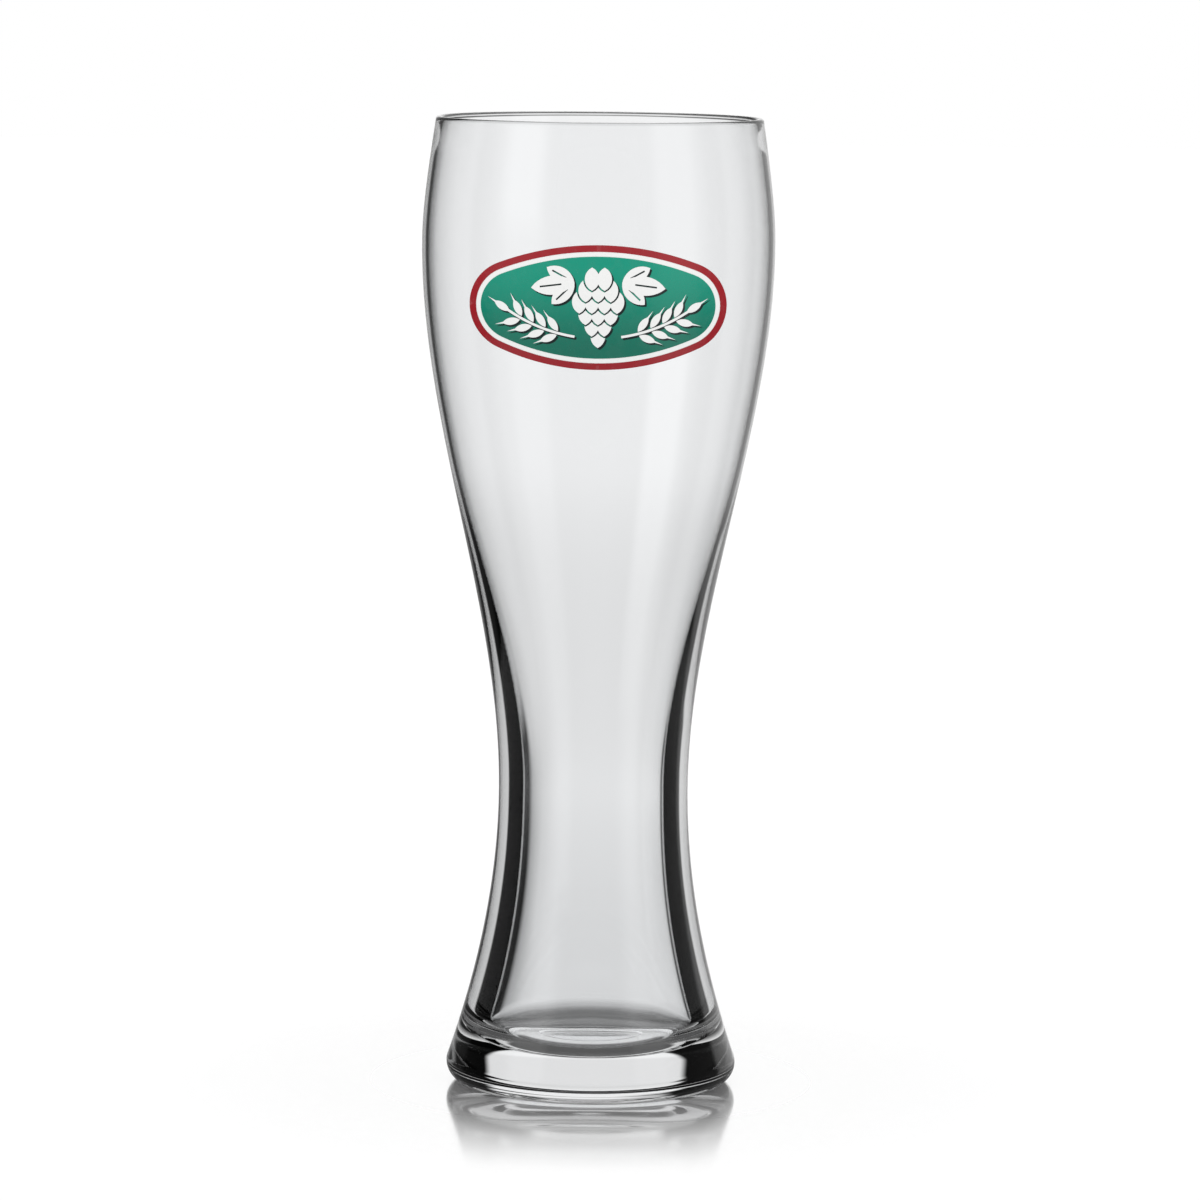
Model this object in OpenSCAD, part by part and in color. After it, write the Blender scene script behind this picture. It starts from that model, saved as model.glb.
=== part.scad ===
// Tall waisted wheat beer glass with a printed badge on its bowl.
// The glass stands on Z = 0 with its axis on Z, and the badge faces -Y.
// Lengths are in millimetres and angles in degrees.

/* [Outline] */
// Height from the table to the top of the lip
glass_h = 240; // [225:1:280]
// Outer diameter at the lip
rim_d = 80.4; // [74:0.2:86]
// Outer diameter of the bowl at its widest
bowl_d = 87; // [82:0.5:100]
// Drop from the top of the lip to the widest ring of the bowl
shoulder_h = 31; // [20:1:40]
// Length over which the shoulder bends in towards the lip
shoulder_bend = 15; // [5:0.5:25]
// Outer diameter of the waist
waist_d = 47; // [42:0.5:56]
// Height of the waist
waist_z = 74; // [60:1:95]
// Outer diameter of the foot at its widest
foot_d = 72; // [64:0.2:84]
// Radius of the rounded heel under the foot
heel_round = 5; // [3:0.25:6]
// Lean of the flank where it meets the heel
flank_angle = 19; // [12:0.5:24]

/* [Walls] */
// Wall at the fire-polished lip
lip_wall = 1.8; // [1.6:0.1:2.8]
// Height of the band in which the wall thickens up to the lip
lip_band_h = 9; // [6:0.5:18]
// Wall of the bowl
bowl_wall = 1.5; // [1.2:0.1:2.4]
// Drop from the top of the lip to the end of the thin wall
thin_wall_h = 85; // [65:1:100]
// Wall at the waist
waist_wall = 6; // [3:0.1:7.5]
// Wall just above the floor
foot_wall = 7.6; // [4:0.1:9]

/* [Base] */
// Glass under the floor at the axis
base_t = 10; // [8:0.5:20]
// Radius between the inner wall and the floor
floor_round = 7; // [2.5:0.25:9]
// Rise of the floor from its middle to its edge, below zero for a domed floor
floor_dish = -2; // [-3:0.1:2]
// Radius of the round land pressed into the floor
land_r = 13; // [8:0.5:16]
// Depth of the pressed land
land_depth = 0.4; // [0.1:0.1:1]
// Width of the slope round the land
land_edge_w = 1; // [0.5:0.1:3]
// Width of the flat ring that the glass rests on
bearing_w = 3.5; // [2:0.25:6]
// Height of the hollow under the base at the axis
punt_h = 0.5; // [0.3:0.1:3]

/* [Badge] */
// Width of the printed oval across the front
badge_w = 62; // [52:1:68]
// Height of the printed oval
badge_h = 30; // [28:1:34]
// Drop from the top of the lip to the middle of the oval
badge_drop = 44; // [38:0.5:60]
// Radius of the round ends of the oval
badge_end_r = 11; // [8:0.5:12.5]
// Width of the red ring
red_w = 1.6; // [1:0.1:2.2]
// Width of the white ring inside it
white_w = 1.15; // [0.8:0.05:1.6]
// Thickness of one layer of fired ink
ink_t = 0.05; // [0.03:0.01:0.1]
// Sideways and downward shift of the dark shadow under the motifs
shadow_shift = 0.45; // [0.2:0.05:0.7]

/* [Barley ears] */
// Length of one grain
grain_l = 4.3; // [3.4:0.1:4.8]
// Width of one grain
grain_w = 1.75; // [1.2:0.05:1.9]
// Pairs of grains on one ear
grain_pairs = 4; // [2:1:5]
// Distance from one pair to the next along the ear
grain_pitch = 3.15; // [2.8:0.05:3.4]
// Gap between a grain's root and the stalk's middle line
grain_gap = 0.5; // [0.4:0.05:0.8]
// Angle at which a grain leans away from the stalk
grain_spread = 38; // [30:1:50]
// Radius of the line that a stalk follows
ear_line_r = 40; // [34:1:60]
// Distance along that line from the middle of the badge to the stalk's start
stalk_start = 5.6; // [4.9:0.1:7]
// Distance along that line from the middle of the badge to the first grains
ear_start = 9.8; // [8.4:0.1:10.1]
// Drop of the line's lowest point below the middle of the badge
ear_drop = 7.4; // [6:0.1:8]
// Width of the stalk
stalk_w = 0.6; // [0.4:0.05:0.8]
// Length of a bristle past its grain
bristle_l = 2.4; // [1.5:0.1:2.8]
// Width of a bristle at its root
bristle_w = 0.5; // [0.3:0.01:0.6]

/* [Hop cone] */
// Length of one scale of the cone
scale_l = 5.6; // [5:0.1:6.2]
// Width of one scale of the cone
scale_w = 3.5; // [3:0.1:3.8]
// Distance between neighbouring scales of a row
scale_pitch = 3; // [2.7:0.05:3.3]
// Distance from one row of scales to the next
scale_row_h = 2.75; // [2.5:0.05:2.9]
// Bare line round a scale that lies over others
scale_gap = 0.4; // [0.3:0.05:0.6]
// Rise of the cone's middle over the middle of the badge
cone_rise = 0; // [-0.8:0.1:0.8]
// Length of the leaf's middle lobe
leaf_l = 10.5; // [9:0.5:11.5]
// Width of the leaf's middle lobe
leaf_w = 4.6; // [3.6:0.1:5]
// Width of the bare vein along a lobe
vein_w = 0.4; // [0.3:0.05:0.6]
// Gap between the leaf's root and the cone's edge at that height
leaf_gap = 1.2; // [0.9:0.1:1.6]
// Height of the leaf's root over the middle of the badge
leaf_root_y = 6; // [5:0.1:6.4]
// Angle at which the leaf's middle lobe leans below the horizontal
leaf_droop = 8; // [4:1:12]

/* [Hidden] */

// Facets of a full turn, and steps along each stretch of the outline
turn_fn = 120;
long_arc_fn = 360;
shoulder_steps = 8;
bowl_steps = 30;
flank_steps = 16;
round_steps = 8;
floor_steps = 24;
punt_steps = 8;

rim_r = rim_d / 2;
bowl_r = bowl_d / 2;
waist_r = waist_d / 2;
foot_r = foot_d / 2;

// Heights of the widest ring, of the end of the thin wall and of the badge's middle
bowl_z = glass_h - shoulder_h;
thin_wall_z = glass_h - thin_wall_h;
badge_z = glass_h - badge_drop;

// Heights at which the lip's half round and the thickened band under it start
lip_z = glass_h - lip_wall / 2;
lip_band_z = lip_z - lip_band_h;

// Middle of the heel's round, and the point where the flank leaves it
heel_r = foot_r - heel_round;
flank_r = heel_r + heel_round * cos(flank_angle);
flank_z = heel_round * (1 + sin(flank_angle));

// Rows of the hop cone from top to bottom, as scales in a row
cone_rows = [2, 3, 4, 3, 2, 1];

// Lobes of a leaf: turn from the middle lobe, and share of its length and of its width
leaf_lobe_shares = [[0, 1, 1], [36, 0.72, 0.8], [-36, 0.72, 0.8]];
// Shares of a lobe's length at which its vein starts and ends
vein_shares = [0.3, 0.8];

// A number held between 0 and 1
function held(u) = max(0, min(1, u));

// Smooth rise from 0 to 1 that starts and ends level
function ease(u) = let (t = held(u)) t * t * (3 - 2 * t);

// A list of numbers from a to b in equal steps
function span(a, b, steps) = [for (i = [0:steps]) a + (b - a) * i / steps];

// A list without its first entry
function rest_of(list) = [for (i = [1:len(list) - 1]) list[i]];

// A list from its end to its start
function turned(list) = [for (i = [len(list) - 1:-1:0]) list[i]];

// Fall of the shoulder after a rise d over the widest ring: round at first, then straight
function shoulder_fall(d) = sqrt(d * d + shoulder_bend * shoulder_bend) - shoulder_bend;

// Outer radius of the shoulder at height z
function shoulder_at(z) =
    bowl_r - (bowl_r - rim_r) * shoulder_fall(z - bowl_z) / shoulder_fall(glass_h - bowl_z);

// Outer radius between the waist and the widest ring at height z
function bowl_at(z) = waist_r + (bowl_r - waist_r) * ease((z - waist_z) / (bowl_z - waist_z));

// Outer radius of the flank at height z: level at the waist, leaning at the heel
function flank_at(z) =
    let (drop = waist_z - flank_z, u = (waist_z - z) / drop)
    waist_r + (flank_r - waist_r) * ease(u) + drop * tan(flank_angle) * u * u * (u - 1);

// Outer radius at height z
function outer_at(z) = z > bowl_z ? shoulder_at(z) : z > waist_z ? bowl_at(z) : flank_at(z);

// Wall measured level at height z
function wall_at(z) =
    z > thin_wall_z
    ? bowl_wall + (lip_wall - bowl_wall) * ease((z - lip_band_z) / lip_band_h)
    : z > waist_z
    ? bowl_wall + (waist_wall - bowl_wall) * ease((thin_wall_z - z) / (thin_wall_z - waist_z))
    : waist_wall + (foot_wall - waist_wall) * ease((waist_z - z) / (waist_z - base_t));

// Inner radius at height z
function inner_at(z) = outer_at(z) - wall_at(z);

// Lean of the inner wall from upright at height z
function inner_lean(z) =
    atan((inner_at(z - floor_round / 2) - inner_at(z + floor_round / 2)) / floor_round);

// Height of the floor's edge, where its round starts, and the round's upper end on the wall
floor_edge_z = base_t + floor_dish + land_depth;
lean = inner_lean(floor_edge_z + floor_round);
round_top_z = floor_edge_z + floor_round * (1 + sin(lean));
floor_edge_r = inner_at(round_top_z) - floor_round * cos(lean);

// Inner edge of the slope round the land
land_slope_r = land_r - land_edge_w / 2;

// Height of the floor at radius r
function floor_at(r) =
    base_t + floor_dish * ease(r / floor_edge_r)
    + land_depth * ease((r - land_slope_r) / land_edge_w);

// Inner edge of the flat ring that the glass rests on
punt_r = heel_r - bearing_w;

// Heights along the upper outline, the same for the outer and the inner wall
upper_heights = concat(
    span(waist_z, bowl_z, bowl_steps),
    rest_of(span(bowl_z, lip_z, shoulder_steps)));

punt_line = [for (r = span(0, punt_r, punt_steps)) [r, punt_h * (1 - pow(r / punt_r, 2))]];
heel_line = [for (a = span(-90, flank_angle, round_steps))
    [heel_r + heel_round * cos(a), heel_round * (1 + sin(a))]];
flank_line = [for (z = rest_of(span(flank_z, waist_z, flank_steps))) [flank_at(z), z]];
upper_line = [for (z = upper_heights) [outer_at(z), z]];
lip_line = [for (a = span(0, 180, round_steps))
    [outer_at(lip_z) + lip_wall / 2 * (cos(a) - 1), lip_z + lip_wall / 2 * sin(a)]];
inner_upper_line = [for (z = turned(upper_heights)) [inner_at(z), z]];
inner_flank_line = [for (z = rest_of(span(waist_z, round_top_z, flank_steps))) [inner_at(z), z]];
floor_round_line = [for (a = span(lean, -90, round_steps))
    [floor_edge_r + floor_round * cos(a), floor_edge_z + floor_round * (1 + sin(a))]];
floor_line = [for (r = span(floor_edge_r, 0, floor_steps)) [r, floor_at(r)]];

// The clear glass in one piece: foot, thick base, waist, thin bowl and round lip
module glass_body() {
    color("gainsboro")
    rotate_extrude($fn = turn_fn)
    polygon(concat(
        punt_line,
        heel_line,
        flank_line,
        rest_of(upper_line),
        rest_of(lip_line),
        rest_of(inner_upper_line),
        inner_flank_line,
        rest_of(floor_round_line),
        rest_of(floor_line)));
}

// Skin of one layer of ink all round the upper wall, over the layers before it
module ink_skin(layers_under) {
    under = [for (p = upper_line) [p[0] + layers_under * ink_t, p[1]]];
    over = [for (p = upper_line) [p[0] + (layers_under + 1) * ink_t, p[1]]];
    rotate_extrude($fn = turn_fn)
    polygon(concat(under, turned(over)));
}

// A flat drawing printed square onto the front of the bowl
module printed(layers_under) {
    intersection() {
        ink_skin(layers_under);
        rotate([90, 0, 0])
        linear_extrude(height = bowl_d)
        translate([0, badge_z])
        children();
    }
}

// Oval of four arcs, drawn in from the badge's edge by inset
module oval(inset) {
    half_w = badge_w / 2;
    half_h = badge_h / 2;
    end_x = half_w - badge_end_r;
    long_r = (end_x * end_x + half_h * half_h - badge_end_r * badge_end_r)
        / (2 * (half_h - badge_end_r));
    meet_x = end_x * long_r / (long_r - badge_end_r);
    intersection() {
        translate([0, half_h - long_r]) circle(r = long_r - inset, $fn = long_arc_fn);
        translate([0, long_r - half_h]) circle(r = long_r - inset, $fn = long_arc_fn);
        square([2 * (meet_x - inset * end_x / (long_r - badge_end_r)), badge_h], center = true);
    }
    for (side = [-1, 1])
        translate([side * end_x, 0]) circle(r = badge_end_r - inset, $fn = turn_fn);
}

// Pointed oval that lies along X, with its root at the origin
module pointed(length, width) {
    arc_r = (length * length + width * width) / (4 * width);
    translate([length / 2, 0])
    intersection() {
        translate([0, arc_r - width / 2]) circle(r = arc_r, $fn = turn_fn);
        translate([0, width / 2 - arc_r]) circle(r = arc_r, $fn = turn_fn);
    }
}

// Long thin triangle along X, for a bristle
module bristle(length) {
    polygon([[0, -bristle_w / 2], [length, 0], [0, bristle_w / 2]]);
}

// Turn of the ear's line over a distance along it
function line_turn(along) = along / ear_line_r * 180 / PI;

// Point a distance along the ear's line, at a radius from the middle of that line's circle
function around(along, radius) =
    [radius * sin(line_turn(along)), ear_line_r - ear_drop - radius * cos(line_turn(along))];

// Disc inside the ear's line, grown by more
module line_disc(more) {
    translate(around(0, 0)) circle(r = ear_line_r + more, $fn = long_arc_fn);
}

// Stalk along the ear's line, between two distances along it
module stalk(from, to) {
    intersection() {
        difference() {
            line_disc(stalk_w / 2);
            line_disc(-stalk_w / 2);
        }
        polygon([around(0, 0), around(from, 2 * ear_line_r), around(to, 2 * ear_line_r)]);
    }
}

// A drawing along X, set on the ear's line a distance along it
module on_ear(along) {
    translate(around(along, ear_line_r)) rotate(line_turn(along)) children();
}

// One grain along X with its bristle, with its root at the origin
module grain() {
    pointed(grain_l, grain_w);
    translate([grain_l - bristle_w, 0]) bristle(bristle_l);
}

// One ear of barley that leans to the right: stalk, paired grains and an end grain
module ear() {
    ear_end = ear_start + grain_pairs * grain_pitch;
    stalk(stalk_start, ear_end + stalk_w);
    for (i = [0:grain_pairs - 1], side = [-1, 1])
        on_ear(ear_start + i * grain_pitch)
        translate([0, side * grain_gap])
        rotate(side * grain_spread)
        grain();
    on_ear(ear_end) grain();
}

// Both ears, mirrored about the badge's middle
module ears_drawing() {
    ear();
    mirror([1, 0]) ear();
}

// One lobe of a leaf along X, with its vein left bare
module lobe(length, width) {
    difference() {
        pointed(length, width);
        translate([length * vein_shares[0], -vein_w / 2])
            square([length * (vein_shares[1] - vein_shares[0]), vein_w]);
    }
}

// One hop leaf to the right of the cone
module leaf() {
    translate([scale_pitch * (cone_rows[0] + 1) / 2 + leaf_gap, leaf_root_y])
    rotate(-leaf_droop)
    for (lobe_share = leaf_lobe_shares)
        rotate(lobe_share[0]) lobe(leaf_l * lobe_share[1], leaf_w * lobe_share[2]);
}

// One row of the cone's scales, each grown all round by more
module cone_row(row, more) {
    count = cone_rows[row];
    y = cone_rise + ((len(cone_rows) - 1) / 2 - row) * scale_row_h + scale_l / 2;
    for (i = [0:count - 1])
        translate([(i - (count - 1) / 2) * scale_pitch, y + more])
        rotate(-90)
        pointed(scale_l + 2 * more, scale_w + 2 * more);
}

// Cone of scales that lie over each other like shingles, with a leaf on each side
module hop_drawing() {
    for (row = [0:len(cone_rows) - 1])
        difference() {
            cone_row(row, 0);
            if (row > 0) cone_row(row - 1, scale_gap);
        }
    leaf();
    mirror([1, 0]) leaf();
}

// Both motifs together
module motif_drawing() {
    ears_drawing();
    hop_drawing();
}

// White layer under the whole badge, which shows as the white ring
module print_white_base() {
    color("white") printed(0) oval(0);
}

// Red ring round the badge
module print_red_ring() {
    color("firebrick")
    printed(1)
    difference() {
        oval(0);
        oval(red_w);
    }
}

// Green field inside the white ring
module print_green_field() {
    color("seagreen") printed(1) oval(red_w + white_w);
}

// Dark shadow beside the motifs, down and to the right
module print_motif_shadow() {
    color("darkslategray")
    printed(2)
    difference() {
        translate([shadow_shift, -shadow_shift]) motif_drawing();
        motif_drawing();
    }
}

// White barley ears
module print_barley_ears() {
    color("white") printed(2) ears_drawing();
}

// White hop cone and leaves
module print_hop_cone() {
    color("white") printed(2) hop_drawing();
}

glass_body();
print_white_base();
print_red_ring();
print_green_field();
print_motif_shadow();
print_barley_ears();
print_hop_cone();
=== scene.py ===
"""A tall wheat beer glass with a printed badge, dressed round its CAD frame.

The glass is turned from its outline by a Geometry Nodes lathe. The badge is drawn flat, layer by
layer, wrapped onto the bowl and given the thickness of fired ink. Lengths are in metres, except
in the classes that say millimetres.
"""

import logging
import math
from dataclasses import dataclass, field
from enum import Enum
from functools import cached_property
from typing import Any, Callable, Mapping, Sequence, Union

import bpy
from mathutils import Matrix, Vector
from mathutils.geometry import delaunay_2d_cdt


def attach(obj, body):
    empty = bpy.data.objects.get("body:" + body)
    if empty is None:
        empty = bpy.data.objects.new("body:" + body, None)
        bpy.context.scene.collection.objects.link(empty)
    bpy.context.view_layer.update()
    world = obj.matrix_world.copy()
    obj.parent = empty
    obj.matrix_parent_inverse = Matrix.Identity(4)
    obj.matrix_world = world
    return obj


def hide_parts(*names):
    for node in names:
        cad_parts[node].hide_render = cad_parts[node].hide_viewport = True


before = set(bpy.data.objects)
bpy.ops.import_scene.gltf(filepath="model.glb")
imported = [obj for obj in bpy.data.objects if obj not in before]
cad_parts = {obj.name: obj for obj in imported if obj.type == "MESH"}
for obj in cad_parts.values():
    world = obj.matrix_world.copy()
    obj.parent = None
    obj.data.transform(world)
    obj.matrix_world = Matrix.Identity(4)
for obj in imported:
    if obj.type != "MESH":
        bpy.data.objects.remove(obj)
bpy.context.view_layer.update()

LOG = logging.getLogger("beer_glass")
MM = 0.001
BODY = "root"
Point = tuple[float, float]
Colour = tuple[float, float, float]
Edge = tuple[float, float]
Band = tuple[float, float, float]
Tags = frozenset[str]
Number = Union[float, "Wire"]


# Node trees


@dataclass(frozen=True)
class Wire:
    """A socket that takes part in Python expressions, which add Math nodes."""

    maker: "TreeMaker"
    socket: bpy.types.NodeSocket

    def math(self, operation: str, *others: Number) -> "Wire":
        """Result of a Math node that takes this wire first and the others after it."""
        return self.maker.math(operation, self, *others)

    def __add__(self, other: Number) -> "Wire":
        """Sum."""
        return self.math("ADD", other)

    def __radd__(self, other: Number) -> "Wire":
        """Sum with a number in front."""
        return self.maker.math("ADD", other, self)

    def __sub__(self, other: Number) -> "Wire":
        """Difference."""
        return self.math("SUBTRACT", other)

    def __rsub__(self, other: Number) -> "Wire":
        """Difference from a number in front."""
        return self.maker.math("SUBTRACT", other, self)

    def __mul__(self, other: Number) -> "Wire":
        """Product."""
        return self.math("MULTIPLY", other)

    def __rmul__(self, other: Number) -> "Wire":
        """Product with a number in front."""
        return self.maker.math("MULTIPLY", other, self)

    def __truediv__(self, other: Number) -> "Wire":
        """Quotient."""
        return self.math("DIVIDE", other)

    def __mod__(self, other: Number) -> "Wire":
        """Remainder."""
        return self.math("FLOORED_MODULO", other)

    def __abs__(self) -> "Wire":
        """Size without its sign."""
        return self.math("ABSOLUTE")

    def over(self, low: Number, high: Number) -> "Wire":
        """Smooth step from 0 to 1.

        Args:
            low: Value at which the step leaves 0.
            high: Value at which it reaches 1.

        Returns:
            The step.
        """
        return self.maker.out(
            "ShaderNodeMapRange",
            {"interpolation_type": "SMOOTHSTEP"},
            {"Value": self, "From Min": low, "From Max": high},
        )

    def between(self, low: float, high: float, soft: float) -> "Wire":
        """Band that is 1 from low to high, with edges as wide as soft centred there."""
        half = soft / 2
        return self.over(low - half, low + half) * (1 - self.over(high - half, high + half))


class TreeMaker:
    """Adds and links the nodes of one tree."""

    def __init__(self, tree: bpy.types.NodeTree) -> None:
        """Takes the tree and clears it."""
        self.tree = tree
        tree.nodes.clear()

    def node(
        self,
        kind: str,
        settings: Mapping[str, Any] | None = None,
        sockets: Mapping[Any, Any] | None = None,
    ) -> bpy.types.Node:
        """Adds a node, sets it and then feeds its sockets.

        Args:
            kind: The node's type.
            settings: Its properties.
            sockets: Values or Wires by the name or number of the input.

        Returns:
            The new node.
        """
        made = self.tree.nodes.new(kind)
        for name, value in (settings or {}).items():
            setattr(made, name, value)
        for key, value in (sockets or {}).items():
            self.feed(made.inputs[key], value)
        return made

    def out(
        self,
        kind: str,
        settings: Mapping[str, Any] | None = None,
        sockets: Mapping[Any, Any] | None = None,
        output: Any = 0,
    ) -> Wire:
        """Adds a node and returns one of its outputs.

        Args:
            kind: The node's type.
            settings: Its properties.
            sockets: Values or Wires by the name or number of the input.
            output: Name or number of the output.

        Returns:
            That output as a Wire.
        """
        return Wire(self, self.node(kind, settings, sockets).outputs[output])

    def feed(self, socket: bpy.types.NodeSocket, value: Any) -> None:
        """Fills an input.

        Args:
            socket: The input.
            value: A Wire or a list of Wires to link, or else a constant.
        """
        if isinstance(value, Wire):
            self.tree.links.new(value.socket, socket)
        elif isinstance(value, list):
            for wire in reversed(value):
                self.feed(socket, wire)
        else:
            socket.default_value = value

    def math(self, operation: str, *values: Number) -> Wire:
        """Result of a Math node on Wires and numbers, in the order of its sockets."""
        return self.out("ShaderNodeMath", {"operation": operation}, dict(enumerate(values)))

    def vector(self, **parts: Number) -> Wire:
        """Vector of the X, Y and Z that are given, with 0 for the rest."""
        return self.out("ShaderNodeCombineXYZ", None, parts)

    def split(self, vector: Wire) -> tuple[Wire, ...]:
        """X, Y and Z of a vector."""
        parts = self.node("ShaderNodeSeparateXYZ", None, {0: vector})
        return tuple(Wire(self, socket) for socket in parts.outputs)

    def mixed(self, factor: Wire, first: Wire, second: Wire) -> Wire:
        """Shader that goes from first to second with a factor."""
        return self.out("ShaderNodeMixShader", None, {0: factor, 1: first, 2: second})


def blend(first: Number, second: Number, share: Wire) -> Wire:
    """Number that goes from first to second with a share."""
    return first + (second - first) * share


@dataclass
class GeometryTree:
    """A Geometry Nodes tree with named inputs that runs once on an object and is then removed."""

    name: str
    maker: TreeMaker = field(init=False)
    inlet: bpy.types.Node = field(init=False)
    source: Wire = field(init=False)
    values: dict[str, Any] = field(default_factory=dict)

    def __post_init__(self) -> None:
        """Makes the tree with its geometry input and output."""
        tree = bpy.data.node_groups.new(self.name, "GeometryNodeTree")
        self.maker = TreeMaker(tree)
        for way in ("INPUT", "OUTPUT"):
            tree.interface.new_socket("Geometry", in_out=way, socket_type="NodeSocketGeometry")
        self.inlet = self.maker.node("NodeGroupInput")
        self.source = Wire(self.maker, self.inlet.outputs[0])

    def input(self, name: str, kind: str, value: Any) -> Wire:
        """Adds a named input.

        Args:
            name: The input's name.
            kind: The end of its socket type, such as Float, Int or Material.
            value: What the modifier gives it.

        Returns:
            The input as a Wire inside the tree.
        """
        made = self.maker.tree.interface.new_socket(
            name, in_out="INPUT", socket_type="NodeSocket" + kind
        )
        self.values[made.identifier] = value
        return Wire(self.maker, self.inlet.outputs[name])

    def moved(self, geometry: Wire, **how: Any) -> Wire:
        """Geometry after a Translation, Rotation or Scale."""
        return self.maker.out("GeometryNodeTransform", None, {"Geometry": geometry, **how})

    def joined(self, *parts: Wire) -> Wire:
        """Several geometries as one."""
        return self.maker.out("GeometryNodeJoinGeometry", None, {0: list(parts)})

    def close(self, geometry: Wire, material: Wire) -> None:
        """Ends the tree in Realize Instances and Set Material.

        Args:
            geometry: What the tree has made.
            material: The finish that it gets.
        """
        real = self.maker.out("GeometryNodeRealizeInstances", None, {"Geometry": geometry})
        dressed = self.maker.out(
            "GeometryNodeSetMaterial", None, {"Geometry": real, "Material": material}
        )
        self.maker.node("NodeGroupOutput", None, {0: dressed})

    def run(self, mesh: bpy.types.Mesh) -> bpy.types.Mesh:
        """Runs the tree on a mesh.

        Args:
            mesh: The geometry that goes in.

        Returns:
            The result as a plain mesh.
        """
        carrier = bpy.data.objects.new(self.name, mesh)
        bpy.context.scene.collection.objects.link(carrier)
        modifier = carrier.modifiers.new(self.name, "NODES")
        modifier.node_group = self.maker.tree
        for identifier, value in self.values.items():
            modifier[identifier] = value
        seen = bpy.context.evaluated_depsgraph_get()
        result = bpy.data.meshes.new_from_object(carrier.evaluated_get(seen))
        carrier.modifiers.remove(modifier)
        bpy.data.objects.remove(carrier)
        return result


# Finishes


def new_material(name: str) -> tuple[bpy.types.Material, TreeMaker]:
    """Makes an empty material.

    Args:
        name: The material's name.

    Returns:
        The material, and what adds nodes to it.
    """
    made = bpy.data.materials.new(name)
    made.use_nodes = True
    return made, TreeMaker(made.node_tree)


def object_place(maker: TreeMaker) -> Wire:
    """Object coordinates, which stay with the piece."""
    return maker.out("ShaderNodeTexCoord", output="Object")


def noise(maker: TreeMaker, place: Wire, scale: float, detail: float = 2.0) -> Wire:
    """Noise between 0 and 1.

    Args:
        maker: The tree to add to.
        place: Coordinates.
        scale: Waves to the metre.
        detail: Layers of finer noise.

    Returns:
        The noise's value.
    """
    return maker.out(
        "ShaderNodeTexNoise", None, {"Vector": place, "Scale": scale, "Detail": detail}
    )


def tinted(maker: TreeMaker, factor: Wire, first: Colour, second: Colour) -> Wire:
    """Colour that goes from first to second with a factor.

    Args:
        maker: The tree to add to.
        factor: 0 gives the first colour and 1 the second.
        first: Linear colour.
        second: Linear colour.

    Returns:
        The mixed colour.
    """
    return maker.out(
        "ShaderNodeMix",
        {"data_type": "RGBA"},
        {"Factor": factor, 6: (*first, 1.0), 7: (*second, 1.0)},
        output=2,
    )


def bumped(maker: TreeMaker, height: Wire, distance: float = 1.0) -> Wire:
    """Normal that follows a height, which is multiplied by a distance in metres."""
    return maker.out("ShaderNodeBump", None, {"Height": height, "Distance": distance, "Strength": 1.0})


@dataclass(frozen=True)
class ClearGlass:
    """Soda-lime glass with the faint waves of blown ware and the ripple of its pressed floor."""

    name: str = "clear_glass"
    thick_tint: Colour = (0.948, 0.955, 0.962)
    thin_tint: Colour = (0.99, 0.995, 1.0)
    tint_z: Edge = (0.025, 0.105)
    index: float = 1.52
    wave_scale: float = 38.0
    wave_detail: float = 1.0
    wave_height: float = 0.00002
    press_scale: float = 300.0
    press_height: float = 0.000025
    floor_r: float = 0.019
    floor_low_z: float = 0.006
    floor_high_z: float = 0.0145
    floor_soft: float = 0.002

    def material(self) -> bpy.types.Material:
        """Builds the glass.

        Returns:
            The material.
        """
        made, maker = new_material(self.name)
        place = object_place(maker)
        x, y, height = maker.split(place)
        reach = (x * x + y * y).math("SQRT")
        pressed = 1 - reach.over(self.floor_r - self.floor_soft, self.floor_r)
        pressed = pressed * (1 - height.over(self.floor_high_z - self.floor_soft, self.floor_high_z))
        pressed = pressed * height.over(self.floor_low_z, self.floor_low_z + self.floor_soft)
        wave = noise(maker, place, self.wave_scale, self.wave_detail) * self.wave_height
        press = noise(maker, place, self.press_scale) * pressed * self.press_height
        shader = maker.out(
            "ShaderNodeBsdfPrincipled",
            None,
            {
                "Base Color": tinted(
                    maker, height.over(*self.tint_z), self.thick_tint, self.thin_tint
                ),
                "Roughness": 0.0,
                "IOR": self.index,
                "Transmission Weight": 1.0,
                "Normal": bumped(maker, wave + press),
            },
        )
        maker.node("ShaderNodeOutputMaterial", None, {"Surface": shader})
        return made


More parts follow.
